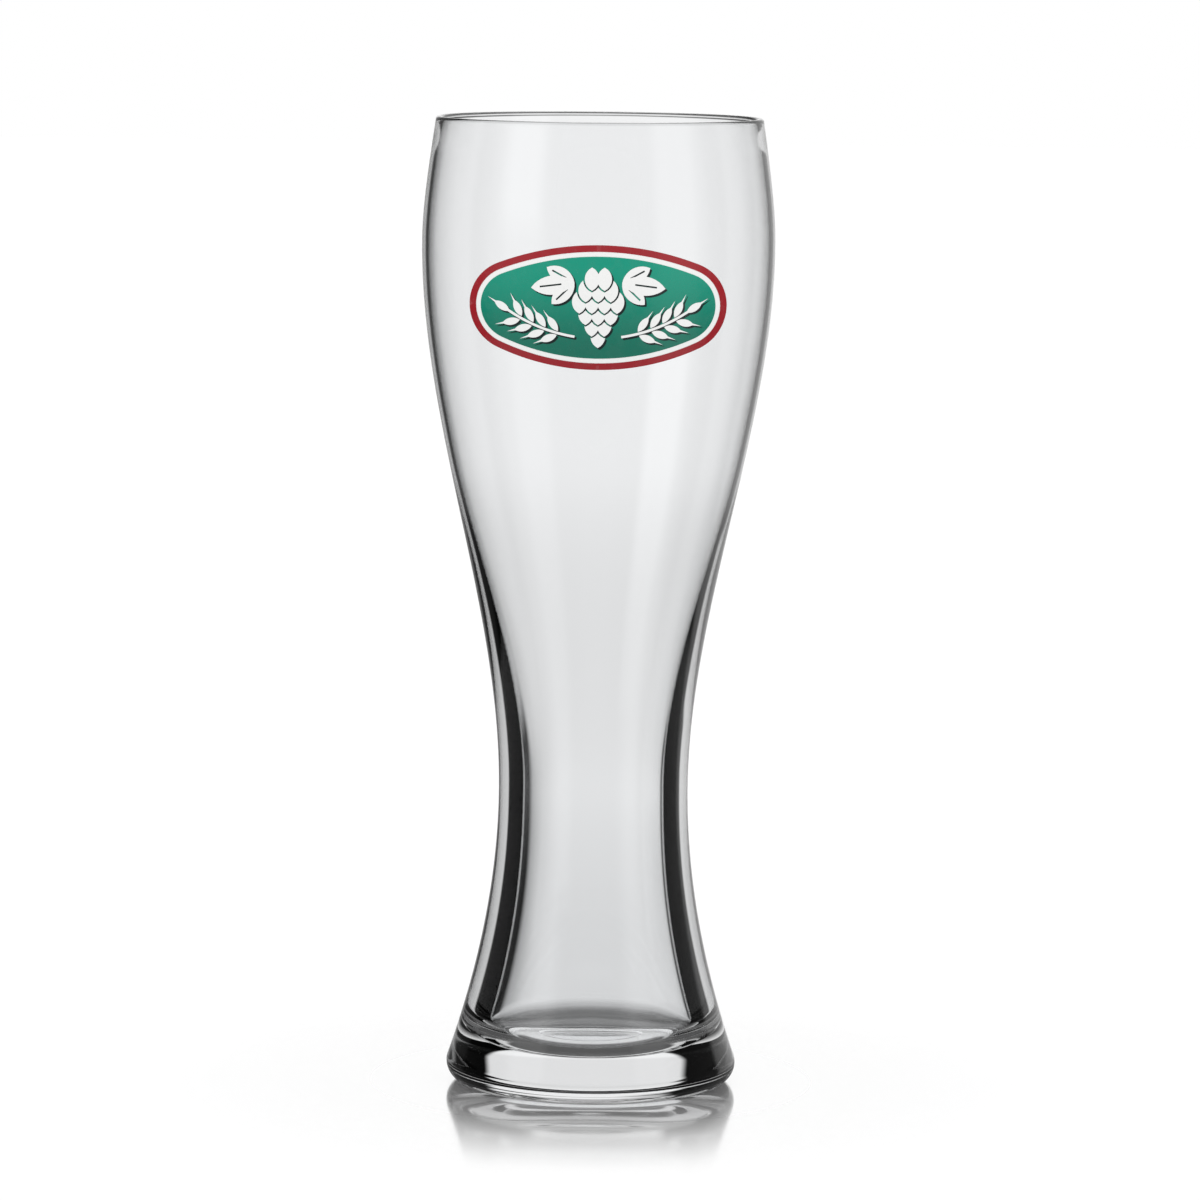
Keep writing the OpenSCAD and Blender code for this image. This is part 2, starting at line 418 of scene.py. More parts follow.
@dataclass(frozen=True)
class FiredInk:
    """Screen-printed ceramic ink that is fired onto glass."""

    name: str
    low: Colour
    high: Colour
    blend_z: Edge = (0.18, 0.21)
    index: float = 1.5
    gloss_low: float = 0.16
    gloss_high: float = 0.3
    gloss_flow: Edge = (0.35, 0.65)
    mottle: float = 0.1
    grain_scale: float = 2600.0
    flow_scale: float = 420.0
    relief: float = 4e-6

    def material(self) -> bpy.types.Material:
        """Builds the ink, whose colour goes from low to high between two heights.

        Returns:
            The material.
        """
        made, maker = new_material(self.name)
        place = object_place(maker)
        height = maker.split(place)[2]
        fine = noise(maker, place, self.grain_scale)
        flow = noise(maker, place, self.flow_scale)
        rise = height.over(*self.blend_z) + (flow - 0.5) * self.mottle
        colour = tinted(maker, rise, self.low, self.high)
        shade = 1 - (fine - 0.5) * self.mottle
        shaded = maker.out(
            "ShaderNodeVectorMath", {"operation": "SCALE"}, {0: colour, "Scale": shade}
        )
        shader = maker.out(
            "ShaderNodeBsdfPrincipled",
            None,
            {
                "Base Color": shaded,
                "Roughness": blend(self.gloss_low, self.gloss_high, flow.over(*self.gloss_flow)),
                "IOR": self.index,
                "Normal": bumped(maker, fine + flow, self.relief),
            },
        )
        maker.node("ShaderNodeOutputMaterial", None, {"Surface": shader})
        return made


class Ink(Enum):
    """The colours of the badge, each with its finish."""

    WHITE = FiredInk("white_ink", (0.84, 0.85, 0.84), (0.90, 0.90, 0.89))
    RED = FiredInk("red_ink", (0.30, 0.011, 0.018), (0.35, 0.014, 0.022))
    GREEN = FiredInk("green_ink", (0.005, 0.15, 0.10), (0.004, 0.31, 0.205), (0.184, 0.207))
    DARK = FiredInk("dark_ink", (0.002, 0.012, 0.012), (0.003, 0.016, 0.015))


# The glass


def ease(share: float) -> float:
    """Smooth rise from 0 to 1 that starts and ends level."""
    t = max(0.0, min(1.0, share))
    return t * t * (3 - 2 * t)


def span(first: float, last: float, steps: int) -> list[float]:
    """Numbers from first to last in equal steps."""
    return [first + (last - first) * i / steps for i in range(steps + 1)]


@dataclass
class Piece:
    """A finished mesh that rides on the glass's body and stands for a CAD node."""

    name: str
    mesh: bpy.types.Mesh
    node: str
    slot: str

    def place(self) -> bpy.types.Object:
        """Adds the piece to the scene and tells the frame about it.

        Returns:
            The piece's object.
        """
        self.mesh.name = self.name
        made = bpy.data.objects.new(self.name, self.mesh)
        bpy.context.scene.collection.objects.link(made)
        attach(made, BODY)
        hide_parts(self.node)
        return made


@dataclass
class GlassBody:
    """The clear glass in one piece: foot, thick base, waist, thin bowl and round lip.

    Lengths are in millimetres and match the CAD model's. The steps say into how many lines each
    stretch of the outline is cut.
    """

    height: float = 240.0
    rim_r: float = 40.2
    bowl_r: float = 43.5
    bowl_z: float = 209.0
    shoulder_bend: float = 15.0
    waist_r: float = 23.5
    waist_z: float = 74.0
    foot_r: float = 36.0
    heel_round: float = 5.0
    flank_lean: float = math.radians(19)
    lip_wall: float = 1.8
    lip_band_h: float = 9.0
    bowl_wall: float = 1.5
    thin_wall_z: float = 155.0
    waist_wall: float = 6.0
    foot_wall: float = 7.6
    base_t: float = 10.0
    floor_round: float = 7.0
    floor_dish: float = -2.0
    land_r: float = 13.0
    land_depth: float = 0.4
    land_edge_w: float = 1.0
    bearing_w: float = 3.5
    punt_h: float = 0.5
    weld: float = 0.001
    segments: int = 192
    punt_steps: int = 22
    bearing_steps: int = 4
    heel_steps: int = 26
    flank_steps: int = 44
    bowl_steps: int = 60
    shoulder_steps: int = 24
    lip_steps: int = 16
    cavity_steps: int = 36
    floor_round_steps: int = 20
    floor_steps: int = 60

    @property
    def lip_z(self) -> float:
        """Height at which the lip's half round starts."""
        return self.height - self.lip_wall / 2

    @property
    def heel_r(self) -> float:
        """Radius of the middle of the heel's round."""
        return self.foot_r - self.heel_round

    @property
    def flank_z(self) -> float:
        """Height at which the flank leaves the heel's round."""
        return self.heel_round * (1 + math.sin(self.flank_lean))

    def shoulder_fall(self, rise: float) -> float:
        """Fall of the shoulder after a rise over the widest ring."""
        return math.hypot(rise, self.shoulder_bend) - self.shoulder_bend

    def outer_at(self, z: float) -> float:
        """Outside of the glass.

        Args:
            z: Height over the table.

        Returns:
            The outer radius there.
        """
        if z > self.bowl_z:
            whole = self.shoulder_fall(self.height - self.bowl_z)
            share = self.shoulder_fall(z - self.bowl_z) / whole
            return self.bowl_r - (self.bowl_r - self.rim_r) * share
        if z > self.waist_z:
            rise = (z - self.waist_z) / (self.bowl_z - self.waist_z)
            return self.waist_r + (self.bowl_r - self.waist_r) * ease(rise)
        flank_r = self.heel_r + self.heel_round * math.cos(self.flank_lean)
        drop = self.waist_z - self.flank_z
        share = (self.waist_z - z) / drop
        lean = drop * math.tan(self.flank_lean) * share * share * (share - 1)
        return self.waist_r + (flank_r - self.waist_r) * ease(share) + lean

    def wall_at(self, z: float) -> float:
        """Thickness of the wall, measured level.

        Args:
            z: Height over the table.

        Returns:
            The wall there.
        """
        if z > self.thin_wall_z:
            rise = (z - self.lip_z + self.lip_band_h) / self.lip_band_h
            return self.bowl_wall + (self.lip_wall - self.bowl_wall) * ease(rise)
        if z > self.waist_z:
            fall = (self.thin_wall_z - z) / (self.thin_wall_z - self.waist_z)
            return self.bowl_wall + (self.waist_wall - self.bowl_wall) * ease(fall)
        fall = (self.waist_z - z) / (self.waist_z - self.base_t)
        return self.waist_wall + (self.foot_wall - self.waist_wall) * ease(fall)

    def inner_at(self, z: float) -> float:
        """Inner radius at height z."""
        return self.outer_at(z) - self.wall_at(z)

    def floor_at(self, r: float, edge_r: float) -> float:
        """Height of the floor at radius r, for a floor that ends at edge_r."""
        step = (r - self.land_r + self.land_edge_w / 2) / self.land_edge_w
        return self.base_t + self.land_depth * ease(step) + self.floor_dish * ease(r / edge_r)

    def outline(self) -> list[Point]:
        """Radius and height of the half section, from under the base over the lip to the floor."""
        return self._foot() + self._walls() + self._floor()

    def _foot(self) -> list[Point]:
        """Underside from the axis out, and the heel's round.

        Returns:
            Points of the outline.
        """
        punt_r = self.heel_r - self.bearing_w
        under = span(0, punt_r, self.punt_steps)
        points = [(r, self.punt_h * (1 - (r / punt_r) ** 2)) for r in under]
        points += [(r, 0.0) for r in span(punt_r, self.heel_r, self.bearing_steps)[1:-1]]
        lean = math.degrees(self.flank_lean)
        heel = self._arc((self.heel_r, self.heel_round), self.heel_round, -90, lean, self.heel_steps)
        return points + heel

    def _walls(self) -> list[Point]:
        """Outside from the heel up, over the lip, and the inside down to the waist.

        Returns:
            Points of the outline.
        """
        lower = span(self.flank_z, self.waist_z, self.flank_steps)
        upper = span(self.waist_z, self.bowl_z, self.bowl_steps)
        upper += span(self.bowl_z, self.lip_z, self.shoulder_steps)[1:]
        outside = [(self.outer_at(z), z) for z in lower[1:] + upper[1:]]
        half = self.lip_wall / 2
        middle = (self.outer_at(self.lip_z) - half, self.lip_z)
        lip = self._arc(middle, half, 0, 180, self.lip_steps)[1:]
        inside = [(self.inner_at(z), z) for z in reversed(upper[:-1])]
        return outside + lip + inside

    def _floor(self) -> list[Point]:
        """Inside from the waist down, round the floor's edge and in to the axis.

        Returns:
            Points of the outline.
        """
        floor_z = self.base_t + self.floor_dish + self.land_depth
        around = floor_z + self.floor_round
        near = self.floor_round / 2
        narrowing = self.inner_at(around - near) - self.inner_at(around + near)
        lean = math.atan(narrowing / self.floor_round)
        top_z = floor_z + self.floor_round * (1 + math.sin(lean))
        edge_r = self.inner_at(top_z) - self.floor_round * math.cos(lean)
        down = span(self.waist_z, top_z, self.cavity_steps)[1:]
        points = [(self.inner_at(z), z) for z in down]
        points += self._arc(
            (edge_r, around), self.floor_round, math.degrees(lean), -90, self.floor_round_steps
        )[1:]
        inward = span(edge_r, 0, self.floor_steps)[1:]
        return points + [(r, self.floor_at(r, edge_r)) for r in inward]

    @staticmethod
    def _arc(middle: Point, radius: float, first: float, last: float, steps: int) -> list[Point]:
        """Points of an arc round a middle, between two angles in degrees."""
        turns = [math.radians(angle) for angle in span(first, last, steps)]
        return [(middle[0] + radius * math.cos(t), middle[1] + radius * math.sin(t)) for t in turns]

    def build(self) -> bpy.types.Object:
        """Turns the outline into the glass and dresses it.

        Returns:
            The finished piece.
        """
        chain = bpy.data.meshes.new("glass_outline")
        points = [(r * MM, 0.0, z * MM) for r, z in self.outline()]
        chain.from_pydata(points, [(i, i + 1) for i in range(len(points) - 1)], [])
        finish = ClearGlass()
        mesh = self._lathe(finish.material()).run(chain)
        return Piece("clear_glass_body", mesh, "glass_body", finish.name).place()

    def _lathe(self, finish: bpy.types.Material) -> GeometryTree:
        """Makes the tree that turns an outline in XZ about Z, on a grid with a column to a segment.

        Args:
            finish: The material of the result.

        Returns:
            The tree.
        """
        tree = GeometryTree("glass_lathe")
        maker = tree.maker
        segments = tree.input("Segments", "Int", self.segments)
        weld = tree.input("Weld", "Float", self.weld * MM)
        material = tree.input("Material", "Material", finish)
        count = maker.out(
            "GeometryNodeAttributeDomainSize", None, {"Geometry": tree.source}, "Point Count"
        )
        grid = maker.out(
            "GeometryNodeMeshGrid", None, {"Vertices X": segments + 1, "Vertices Y": count}, "Mesh"
        )
        index = maker.out("GeometryNodeInputIndex")
        turn = (index / count).math("FLOOR") * math.tau / segments
        outline = maker.node(
            "GeometryNodeSampleIndex",
            {"data_type": "FLOAT_VECTOR"},
            {0: tree.source, "Index": index % count},
        )
        maker.feed(outline.inputs["Value"], maker.out("GeometryNodeInputPosition"))
        radius, _, height = maker.split(Wire(maker, outline.outputs[0]))
        place = maker.vector(X=radius * turn.math("COSINE"), Y=radius * turn.math("SINE"), Z=height)
        turned = maker.out("GeometryNodeSetPosition", None, {"Geometry": grid, "Position": place})
        welded = maker.out(
            "GeometryNodeMergeByDistance", None, {"Geometry": turned, "Distance": weld}
        )
        tree.close(maker.out("GeometryNodeSetShadeSmooth", None, {"Geometry": welded}), material)
        return tree


# The badge


@dataclass
class Drawing:
    """Flat polygons with tags, from which a layer of ink takes the areas that a rule keeps.

    Lengths are in millimetres. The grid lines let the ink follow the curve of the bowl. The kind
    of cut is the one that fills the whole hull of the points with triangles.
    """

    column_w: float = 1.0
    row_h: float = 3.0
    tolerance: float = 1e-5
    cut_kind: int = 0
    faces: list[tuple[str, list[Point]]] = field(default_factory=list)

    def add(self, tag: str, points: Sequence[Point]) -> None:
        """Adds one polygon, turned anticlockwise, because the cut takes the area on its left.

        Args:
            tag: What the polygon is.
            points: Its corners.
        """
        nexts = [*points[1:], points[0]]
        area = sum(a[0] * b[1] - b[0] * a[1] for a, b in zip(points, nexts))
        self.faces.append((tag, list(points) if area > 0 else list(reversed(points))))

    def add_mesh(self, tag: str, mesh: bpy.types.Mesh, shift: Point) -> None:
        """Adds every face of a flat mesh, tagged with its row too if it has one.

        Args:
            tag: What the faces are.
            mesh: The flat mesh, in metres.
            shift: How far they are moved.
        """
        rows = mesh.attributes.get("row")
        for face in mesh.polygons:
            row = f"{rows.data[face.index].value}" if rows else ""
            corners = [mesh.vertices[i].co for i in face.vertices]
            self.add(tag + row, [(c.x / MM + shift[0], c.y / MM + shift[1]) for c in corners])

    def cells(self, keep: Callable[[Tags], bool]) -> "FlatMesh":
        """Cuts the plane along every polygon and a grid, and keeps the cells that a rule wants.

        Args:
            keep: Says for the tags of the polygons over a cell whether it is inked.

        Returns:
            The kept triangles.
        """
        corners: list[Point] = []
        loops: list[list[int]] = []
        for _, points in self.faces:
            loops.append(list(range(len(corners), len(corners) + len(points))))
            corners += points
        edges: list[tuple[int, int]] = []
        reach_x, reach_y = (max(abs(p[axis]) for p in corners) for axis in (0, 1))
        for upright, reach, across, spacing in (
            (True, reach_x, reach_y, self.column_w),
            (False, reach_y, reach_x, self.row_h),
        ):
            steps = math.ceil(reach / spacing)
            for i in range(-steps, steps + 1):
                ends = [(i * spacing, -across), (i * spacing, across)]
                edges.append((len(corners), len(corners) + 1))
                corners += ends if upright else [(y, x) for x, y in ends]
        vectors = [Vector(p) for p in corners]
        cut = delaunay_2d_cdt(vectors, edges, loops, self.cut_kind, self.tolerance, True)
        verts, faces, origins = cut[0], cut[2], cut[5]
        kept = [
            list(face)
            for face, over in zip(faces, origins)
            if keep(frozenset(self.faces[i][0] for i in over))
        ]
        return FlatMesh([(v.x, v.y) for v in verts], kept)


@dataclass
class FlatMesh:
    """Triangles in the plane of a drawing, in millimetres."""

    points: list[Point]
    faces: list[list[int]]

    def skin(self, wall: "BowlWall", under: float, over: float) -> bpy.types.Mesh:
        """Wraps the triangles onto the bowl as a closed skin with crisp edges.

        Args:
            wall: The wall that is printed.
            under: Offset of the skin's underside from the wall.
            over: Offset of the skin's face from the wall.

        Returns:
            The closed mesh.
        """
        used = sorted({i for face in self.faces for i in face})
        number = {old: new for new, old in enumerate(used)}
        count = len(used)
        face_side = [[number[i] for i in face] for face in self.faces]
        verts = [wall.at(*self.points[i], over) for i in used]
        verts += [wall.at(*self.points[i], under) for i in used]
        ways = {(f[k], f[(k + 1) % 3]) for f in face_side for k in range(3)}
        border = [(a, b) for a, b in ways if (b, a) not in ways]
        polygons = face_side + [[i + count for i in reversed(f)] for f in face_side]
        polygons += [[b, a, a + count, b + count] for a, b in border]
        mesh = bpy.data.meshes.new("ink")
        mesh.from_pydata(verts, [], polygons)
        mesh.polygons.foreach_set("use_smooth", [True] * len(polygons))
        crisp = {frozenset(pair) for a, b in border for pair in ((a, b), (a + count, b + count))}
        for edge in mesh.edges:
            edge.use_edge_sharp = frozenset(edge.vertices) in crisp
        mesh.update()
        return mesh


@dataclass
class BowlWall:
    """The outside of the bowl round the badge's middle, as a surface to print on."""

    glass: GlassBody
    middle_z: float

    def at(self, x: float, y: float, offset: float) -> Vector:
        """Place on the wall's front, from lengths in millimetres.

        Args:
            x: Distance to the right of the badge's middle.
            y: Height over it.
            offset: Distance out from the wall.

        Returns:
            The point in metres.
        """
        z = self.middle_z + y
        radius = self.glass.outer_at(z) + offset
        return Vector((x, -math.sqrt(radius * radius - x * x), z)) * MM


def pointed(length: float, width: float, steps: int = 12) -> list[Point]:
    """Pointed oval of two arcs, along X with its root at the origin.

    Args:
        length: From root to tip.
        width: Across its middle.
        steps: Lines to each arc.

    Returns:
        Its corners.
    """
    radius = (length**2 + width**2) / (4 * width)
    side = []
    for x in span(0, length, steps):
        rise = math.sqrt(radius**2 - (x - length / 2) ** 2) - radius + width / 2
        side.append((x, max(0.0, rise)))
    return [(x, -y) for x, y in side] + [(x, y) for x, y in reversed(side[1:-1])]


def flat_mesh(name: str, faces: Sequence[Sequence[Point]]) -> bpy.types.Mesh:
    """Makes a flat mesh of separate polygons.

    Args:
        name: The mesh's name.
        faces: Corners of each polygon, in millimetres.

    Returns:
        The mesh.
    """
    verts = [(x * MM, y * MM, 0.0) for face in faces for x, y in face]
    starts = [sum(len(f) for f in faces[:i]) for i in range(len(faces))]
    loops = [list(range(s, s + len(f))) for s, f in zip(starts, faces)]
    mesh = bpy.data.meshes.new(name)
    mesh.from_pydata(verts, [], loops)
    return mesh


@dataclass
class BarleyEars:
    """Two ears of barley, each with its grains in pairs along an arc. Lengths are in millimetres.

    Starts and pitch are measured along the arc, from the badge's middle line.
    """

    grain_l: float = 4.3
    grain_w: float = 1.75
    pairs: int = 4
    pitch: float = 3.15
    gap: float = 0.5
    spread: float = math.radians(38)
    line_r: float = 40.0
    line_drop: float = 7.4
    pairs_start: float = 9.8
    stalk_start: float = 5.6
    stalk_w: float = 0.6
    stalk_steps: int = 24
    bristle_l: float = 2.4
    bristle_w: float = 0.5
    tree: GeometryTree = field(init=False)
    maker: TreeMaker = field(init=False)
    pair_count: Wire = field(init=False)
    angle: Wire = field(init=False)
    sizes: dict[str, Wire] = field(init=False)
    length: Wire = field(init=False)

    def flat(self, finish: bpy.types.Material) -> bpy.types.Mesh:
        """Draws both ears as flat polygons.

        Args:
            finish: The material of the result.

        Returns:
            The flat mesh.
        """
        tree = GeometryTree("barley_ears")
        self.tree, self.maker = tree, tree.maker
        self.pair_count = tree.input("Pairs", "Int", self.pairs)
        self.angle = tree.input("Spread", "Float", self.spread)
        self.sizes = {
            name: tree.input(name, "Float", size * MM)
            for name, size in (
                ("Line Radius", self.line_r),
                ("Line Drop", self.line_drop),
                ("First Pair", self.pairs_start),
                ("Pitch", self.pitch),
                ("Gap", self.gap),
                ("Stalk Start", self.stalk_start),
                ("Stalk Width", self.stalk_w),
            )
        }
        material = tree.input("Material", "Material", finish)
        self.length = self.sizes["Pitch"] * self.pair_count
        right = tree.joined(self._grains(), self._end_grain(), self._stalk())
        left = tree.moved(right, Scale=(-1.0, 1.0, 1.0))
        tree.close(tree.joined(right, left), material)
        return tree.run(self._grain())

    def _grain(self) -> bpy.types.Mesh:
        """Draws one grain with its bristle.

        Returns:
            The flat mesh.
        """
        tip = self.grain_l - self.bristle_w
        half = self.bristle_w / 2
        bristle = [(tip, -half), (tip + self.bristle_l, 0.0), (tip, half)]
        return flat_mesh("grain", [pointed(self.grain_l, self.grain_w), bristle])

    def _line(self, points: Number, start: Wire, sweep: Wire) -> Wire:
        """Stretch of the ear's arc.

        Args:
            points: Number of points on it.
            start: Where it starts.
            sweep: How long it is.

        Returns:
            The curve.
        """
        radius = self.sizes["Line Radius"]
        curve = self.maker.out(
            "GeometryNodeCurveArc",
            None,
            {
                "Resolution": points,
                "Radius": radius,
                "Start Angle": start / radius - math.pi / 2,
                "Sweep Angle": sweep / radius,
            },
        )
        centre = self.maker.vector(Y=radius - self.sizes["Line Drop"])
        return self.tree.moved(curve, Translation=centre)

    def _grains(self) -> Wire:
        """Pairs of grains, one at each point of the line.

        Returns:
            The grains as instances.
        """
        sides = [
            self.tree.moved(
                self.tree.source,
                Translation=self.maker.vector(Y=self.sizes["Gap"] * side),
                Rotation=self.maker.vector(Z=self.angle * side),
            )
            for side in (-1, 1)
        ]
        tangent = self.maker.out("GeometryNodeInputTangent")
        along = self.maker.out(
            "FunctionNodeAlignRotationToVector", {"axis": "X"}, {"Vector": tangent}
        )
        first, reach = self.sizes["First Pair"], self.length - self.sizes["Pitch"]
        return self.maker.out(
            "GeometryNodeInstanceOnPoints",
            None,
            {
                "Points": self._line(self.pair_count, first, reach),
                "Instance": self.tree.joined(*sides),
                "Rotation": along,
            },
        )

    def _end_grain(self) -> Wire:
        """Single grain at the end of the line.

        Returns:
            The grain.
        """
        radius = self.sizes["Line Radius"]
        turn = (self.sizes["First Pair"] + self.length) / radius
        place = self.maker.vector(
            X=radius * turn.math("SINE"),
            Y=radius - self.sizes["Line Drop"] - radius * turn.math("COSINE"),
        )
        turned = self.maker.vector(Z=turn)
        return self.tree.moved(self.tree.source, Translation=place, Rotation=turned)

    def _stalk(self) -> Wire:
        """Stalk along the line, up to the end grain.

        Returns:
            The strip.
        """
        width, start = self.sizes["Stalk Width"], self.sizes["Stalk Start"]
        left, right = (self.maker.vector(X=width * side) for side in (-0.5, 0.5))
        across = self.maker.out(
            "GeometryNodeCurvePrimitiveLine", None, {"Start": left, "End": right}
        )
        reach = self.sizes["First Pair"] + self.length + width - start
        return self.maker.out(
            "GeometryNodeCurveToMesh",
            None,
            {"Curve": self._line(self.stalk_steps, start, reach), "Profile Curve": across},
        )


@dataclass
class Hop:
    """A hop cone of overlapping scales between two leaves. Lengths are in millimetres.

    Each lobe of a leaf is a turn in degrees, a share of the leaf's length and one of its width.
    """

    scale_l: float = 5.6
    scale_w: float = 3.5
    scale_pitch: float = 3.0
    row_h: float = 2.75
    scale_gap: float = 0.4
    rows: tuple[int, ...] = (2, 3, 4, 3, 2, 1)
    leaf_l: float = 10.5
    leaf_w: float = 4.6
    leaf_gap: float = 1.2
    leaf_root_y: float = 6.0
    leaf_droop: float = math.radians(8)
    lobes: tuple[tuple[float, float, float], ...] = ((0, 1, 1), (36, 0.72, 0.8), (-36, 0.72, 0.8))
    vein_w: float = 0.4
    vein_shares: Edge = (0.3, 0.8)

    def scales(self, finish: bpy.types.Material, more: float) -> bpy.types.Mesh:
        """Draws the cone's scales as flat polygons that know their row.

        Args:
            finish: The material of the result.
            more: How much each scale is grown all round.

        Returns:
            The flat mesh.
        """
        places, rows = [], []
        for row, count in enumerate(self.rows):
            y = ((len(self.rows) - 1) / 2 - row) * self.row_h + self.scale_l / 2
            for i in range(count):
                places.append(((i - (count - 1) / 2) * self.scale_pitch * MM, (y + more) * MM, 0))
                rows.append(row)
        points = bpy.data.meshes.new("scale_places")
        points.from_pydata(places, [], [])
        points.attributes.new("row", "INT", "POINT").data.foreach_set("value", rows)
        outline = pointed(self.scale_l + 2 * more, self.scale_w + 2 * more)
        stamp = bpy.data.objects.new("scale", flat_mesh("scale", [outline]))
        result = self._stamping(stamp, finish).run(points)
        bpy.data.objects.remove(stamp)
        return result

    @staticmethod
    def _stamping(stamp: bpy.types.Object, finish: bpy.types.Material) -> GeometryTree:
        """Makes the tree that stamps a scale, tip down, on each point and notes its row.

        Args:
            stamp: The scale.
            finish: The material of the result.

        Returns:
            The tree.
        """
        tree = GeometryTree("hop_scales")
        maker = tree.maker
        scale = tree.input("Scale", "Object", stamp)
        turn = tree.input("Turn", "Float", -math.pi / 2)
        material = tree.input("Material", "Material", finish)
        info = maker.out("GeometryNodeObjectInfo", None, {"Object": scale}, "Geometry")
        stamped = maker.out(
            "GeometryNodeInstanceOnPoints",
            None,
            {"Points": tree.source, "Instance": info, "Rotation": maker.vector(Z=turn)},
        )
        real = maker.out("GeometryNodeRealizeInstances", None, {"Geometry": stamped})
        row = maker.out("GeometryNodeInputNamedAttribute", {"data_type": "INT"}, {"Name": "row"})
        marked = maker.out(
            "GeometryNodeStoreNamedAttribute",
            {"data_type": "INT", "domain": "FACE"},
            {"Geometry": real, "Name": "row", "Value": row},
        )
        tree.close(marked, material)
        return tree

    def add_leaves(self, drawing: Drawing, tag: str, step: Point) -> None:
        """Adds both leaves' lobes and veins to a drawing.

        Args:
            drawing: The drawing.
            tag: Start of their tags.
            step: How far they are moved.
        """
        root_x = self.scale_pitch * (self.rows[0] + 1) / 2 + self.leaf_gap
        half = self.vein_w / 2
        for side in (-1, 1):
            for number, (turn, long_share, wide_share) in enumerate(self.lobes):
                length = self.leaf_l * long_share
                start, end = (length * share for share in self.vein_shares)
                angle = math.radians(turn) - self.leaf_droop
                for kind, points in (
                    ("lobe", pointed(length, self.leaf_w * wide_share)),
                    ("vein", [(start, -half), (end, -half), (end, half), (start, half)]),
                ):
                    placed = []
                    for x, y in points:
                        right = root_x + x * math.cos(angle) - y * math.sin(angle)
                        up = self.leaf_root_y + x * math.sin(angle) + y * math.cos(angle)
                        placed.append((side * right + step[0], up + step[1]))
                    drawing.add(f"{tag}{kind}{side}{number}", placed)

    def covers(self, tags: Tags, tag: str = "") -> bool:
        """Whether a cell is on the cone or a leaf: rows of scales lie over the rows below.

        Args:
            tags: The polygons over the cell.
            tag: Start of the tags that count.

        Returns:
            True for a cell that is on either.
        """
        for row in range(len(self.rows)):
            if f"{tag}scale{row}" in tags and f"{tag}grown{row - 1}" not in tags:
                return True
        over = [t for t in tags if t.startswith(tag + "lobe")]
        return any(t.replace("lobe", "vein") not in tags for t in over)


@dataclass(frozen=True)
class Layer:
    """One colour of the badge, printed over a number of layers that lie under it."""

    name: str
    drawing: Drawing
    keep: Callable[[Tags], bool]
    under: int
    ink: Ink


